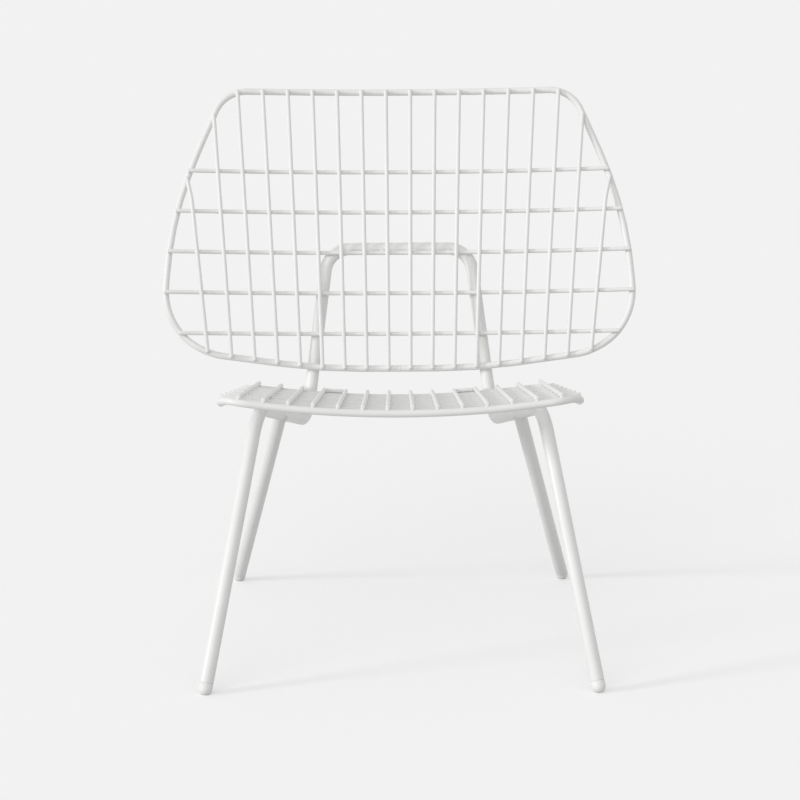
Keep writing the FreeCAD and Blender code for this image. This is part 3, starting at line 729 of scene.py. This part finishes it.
def rounded_plate(bm, size, middle, corner_round, edge_round):
    """A plate with rounded corners and softened edges, in a piece's own axes."""
    corners = bmesh.ops.create_cube(bm, size=1)["verts"]
    bmesh.ops.scale(bm, vec=size, verts=corners)
    bmesh.ops.translate(bm, vec=middle, verts=corners)
    if corner_round:
        upright = [
            edge for edge in bm.edges
            if abs(edge.verts[0].co.z - edge.verts[1].co.z) > edge_round
        ]
        bmesh.ops.bevel(
            bm, geom=upright, offset=corner_round, segments=PLATE_CORNER_STEPS, profile=0.5,
            affect="EDGES", material=-1,
        )
    bmesh.ops.bevel(
        bm, geom=bm.edges[:], offset=edge_round, segments=PLATE_EDGE_STEPS, profile=0.5,
        affect="EDGES", material=-1,
    )


lug_top = WIRE_WIDTH / 2 + WELD_GAP
stem_top = seat_panel.point(lug_s, lug_v, lug_top + LUG_THICKNESS / 2)
stem_end = seat_panel.point(lug_s, lug_v, rail_depth - TUBE_WIDTH / 2 + STEM_INTO_RAIL)
for side, mirror in SIDES:
    bm = bmesh.new()
    size = (LUG_LENGTH, LUG_WIDTH, LUG_THICKNESS)
    middle = (LUG_OFF_CENTRE, 0, -lug_top - LUG_THICKNESS / 2)
    rounded_plate(bm, size, middle, LUG_CORNER_ROUND, LUG_EDGE_ROUND)
    place = panel_matrix(seat_panel, lug_s, lug_v, mirror)
    bmesh.ops.transform(bm, matrix=place, verts=bm.verts)
    stem = (mirror @ stem_top, mirror @ stem_end)
    draw_rod(bm, stem, LUG_STEM_WIDTH, ROUND_STOCK_SIDES, end_round=LUG_EDGE_ROUND)
    chair_piece(bm, f"front_lug_plate_{side}", [f"front_lug_{side}"], TUBE_COAT)


# Lug screws: two pan-head screws with a round socket, turned from steel bar and left bare.
# Each is driven up through a rail into the stem of its lug, so only its head shows.
SCREW_HEAD_WIDTH, SCREW_HEAD_HEIGHT, SCREW_HEAD_ROUND = 0.008, 0.0024, 0.0009
SOCKET_EDGE, SOCKET_DEPTH = 0.0013, 0.0013
SOCKET_SLOPE = SOCKET_EDGE / 8
STEEL_GREY, STEEL_STAIN = (0.62, 0.62, 0.61), (0.5, 0.5, 0.49)


def bare_steel(name):
    """Bare turned steel: a very fine grain and light stains, with no coat."""
    material = powder_coat(name, 3200.0, (0.26, 0.4), 0.00003, STEEL_GREY, STEEL_STAIN)
    shader = material.node_tree.nodes["Principled BSDF"]
    shader.inputs["Metallic"].default_value = 1.0
    shader.inputs["Coat Weight"].default_value = 0.0
    return material


SCREW_STEEL = bare_steel("screw_steel")
head_depth = rail_depth + TUBE_WIDTH / 2 + WELD_GAP
for side, mirror in SIDES:
    head_top = mirror @ seat_panel.point(lug_s, lug_v, head_depth)
    head_end = mirror @ seat_panel.point(lug_s, lug_v, head_depth + SCREW_HEAD_HEIGHT)
    bm = bmesh.new()
    line = (head_end, head_top)
    draw_rod(bm, line, SCREW_HEAD_WIDTH, ROUND_STOCK_SIDES, end_round=SCREW_HEAD_ROUND)
    inward = (head_top - head_end).normalized()
    bm.normal_update()
    face = min(bm.faces, key=lambda face: (face.calc_center_median() - head_end).length)
    bmesh.ops.inset_individual(bm, faces=[face], thickness=SOCKET_EDGE)
    bmesh.ops.inset_individual(bm, faces=[face], thickness=SOCKET_SLOPE)
    bmesh.ops.translate(bm, vec=inward * SOCKET_DEPTH, verts=face.verts)
    screw = [f"front_lug_screw_{side}"]
    chair_piece(bm, f"lug_screw_head_{side}", screw, SCREW_STEEL)


# Rear lugs: two short flat steel bars on top of the seat's rear rim. Each fills the space
# between two ribs, three spaces from the middle, and is welded there before the mesh is coated.
REAR_LUG_PITCHES_OUT = 3
REAR_LUG_WIDTH, REAR_LUG_THICKNESS, REAR_LUG_ROUND = 0.008, 0.005, 0.001
rib_pitch = seat_panel.measure(seat_rib_lines[-1][0])[0] / ((SEAT_RIB_COUNT - 1) / 2)
rear_lug_depth = RIM_UNDER_WIRE - (RIM_WIDTH + REAR_LUG_THICKNESS) / 2 - WELD_GAP
for side, mirror in SIDES:
    bm = bmesh.new()
    size = (rib_pitch - WIRE_WIDTH - 2 * WELD_GAP, REAR_LUG_WIDTH, REAR_LUG_THICKNESS)
    rounded_plate(bm, size, (0, 0, -rear_lug_depth), 0, REAR_LUG_ROUND)
    place = panel_matrix(seat_panel, rib_pitch * REAR_LUG_PITCHES_OUT, SEAT_DEPTH, mirror)
    bmesh.ops.transform(bm, matrix=place, verts=bm.verts)
    chair_piece(bm, f"rear_lug_bar_{side}", [f"rear_lug_{side}"], RIM_COAT)


# The studio: a pale floor and background of one shade, soft light from the left, and the
# camera at the height of someone standing a few steps in front of the chair.
BACKGROUND = 0.888
FLOOR_HALF = 40.0
SKY_STRENGTH = 0.61
LAMPS = (
    ("window_key", (-5.4, -2.0, 1.3), 12, 0.36),
    ("front_fill", (-0.45, -1.0, 0.6), 50, 0.2),
)
FLOOR_SEEN, FLOOR_BOUNCE = 0.86, 0.62

bm = bmesh.new()
bmesh.ops.create_grid(bm, x_segments=1, y_segments=1, size=FLOOR_HALF)
floor_mesh = bpy.data.meshes.new("studio_floor")
bm.to_mesh(floor_mesh)
bm.free()
floor = bpy.data.objects.new("studio_floor", floor_mesh)
bpy.context.scene.collection.objects.link(floor)


def grey(level):
    """A neutral colour of a given level, as a shader's socket takes it."""
    return level, level, level, 1.0


def seen_directly(nodes, links):
    """1 for what the camera sees, straight or through a reflection or clear piece, else 0."""
    rays = nodes.new("ShaderNodeLightPath")
    first = nodes.new("ShaderNodeMath")
    first.operation = "MAXIMUM"
    second = nodes.new("ShaderNodeMath")
    second.operation = "MAXIMUM"
    links.new(rays.outputs["Is Camera Ray"], first.inputs[0])
    links.new(rays.outputs["Is Glossy Ray"], first.inputs[1])
    links.new(first.outputs["Value"], second.inputs[0])
    links.new(rays.outputs["Is Transmission Ray"], second.inputs[1])
    return second.outputs["Value"]


floor_light = SKY_STRENGTH
for name, way, angle, level in LAMPS:
    floor_light += level * Vector(way).normalized().z
floor_material = bpy.data.materials.new("studio_floor")
floor_material.use_nodes = True
nodes, links = floor_material.node_tree.nodes, floor_material.node_tree.links
nodes.remove(nodes["Principled BSDF"])
lit = nodes.new("ShaderNodeBsdfDiffuse")
lit.inputs["Color"].default_value = grey(FLOOR_SEEN)
glow = nodes.new("ShaderNodeEmission")
glow.inputs["Strength"].default_value = BACKGROUND - FLOOR_SEEN * floor_light
both = nodes.new("ShaderNodeAddShader")
bounce = nodes.new("ShaderNodeBsdfDiffuse")
bounce.inputs["Color"].default_value = grey(FLOOR_BOUNCE)
choose = nodes.new("ShaderNodeMixShader")
links.new(lit.outputs["BSDF"], both.inputs[0])
links.new(glow.outputs["Emission"], both.inputs[1])
links.new(seen_directly(nodes, links), choose.inputs["Fac"])
links.new(bounce.outputs["BSDF"], choose.inputs[1])
links.new(both.outputs["Shader"], choose.inputs[2])
links.new(choose.outputs["Shader"], nodes["Material Output"].inputs["Surface"])
floor_mesh.materials.append(floor_material)

world = bpy.data.worlds.new("studio_light")
world.use_nodes = True
bpy.context.scene.world = world
nodes, links = world.node_tree.nodes, world.node_tree.links
sky = nodes["Background"]
sky.inputs["Color"].default_value = grey(1.0)
sky.inputs["Strength"].default_value = SKY_STRENGTH
backdrop = nodes.new("ShaderNodeBackground")
backdrop.inputs["Color"].default_value = grey(BACKGROUND)
choose = nodes.new("ShaderNodeMixShader")
links.new(seen_directly(nodes, links), choose.inputs["Fac"])
links.new(sky.outputs["Background"], choose.inputs[1])
links.new(backdrop.outputs["Background"], choose.inputs[2])
links.new(choose.outputs["Shader"], nodes["World Output"].inputs["Surface"])

for name, way, angle, level in LAMPS:
    lamp_data = bpy.data.lights.new(name, "SUN")
    lamp_data.angle = math.radians(angle)
    lamp_data.energy = level * math.pi
    lamp = bpy.data.objects.new(name, lamp_data)
    lamp.rotation_euler = Vector(way).to_track_quat("Z", "Y").to_euler()
    bpy.context.scene.collection.objects.link(lamp)

CAMERA_TURN = math.radians(-0.1)
CAMERA_PITCH = math.radians(80)
CAMERA_ROLL = -0.0055
CAMERA_DISTANCE, CAMERA_HEIGHT, CAMERA_ASIDE = 2.752, 0.86, -0.0005
SENSOR_WIDTH, LENS_LENGTH = 36.0, 102.15
camera_data = bpy.data.cameras.new("studio_camera")
camera_data.sensor_width = SENSOR_WIDTH
camera_data.lens = LENS_LENGTH
camera = bpy.data.objects.new("studio_camera", camera_data)
stand = chair_front + Vector((CAMERA_ASIDE, 0, CAMERA_HEIGHT))
stand += Vector((math.sin(CAMERA_TURN), -math.cos(CAMERA_TURN), 0)) * CAMERA_DISTANCE
camera.matrix_world = (
    Matrix.Translation(stand) @ Matrix.Rotation(CAMERA_TURN, 4, "Z")
    @ Matrix.Rotation(CAMERA_PITCH, 4, "X") @ Matrix.Rotation(CAMERA_ROLL, 4, "Z")
)
bpy.context.scene.collection.objects.link(camera)
bpy.context.scene.camera = camera
bpy.context.scene.view_settings.view_transform = "Standard"
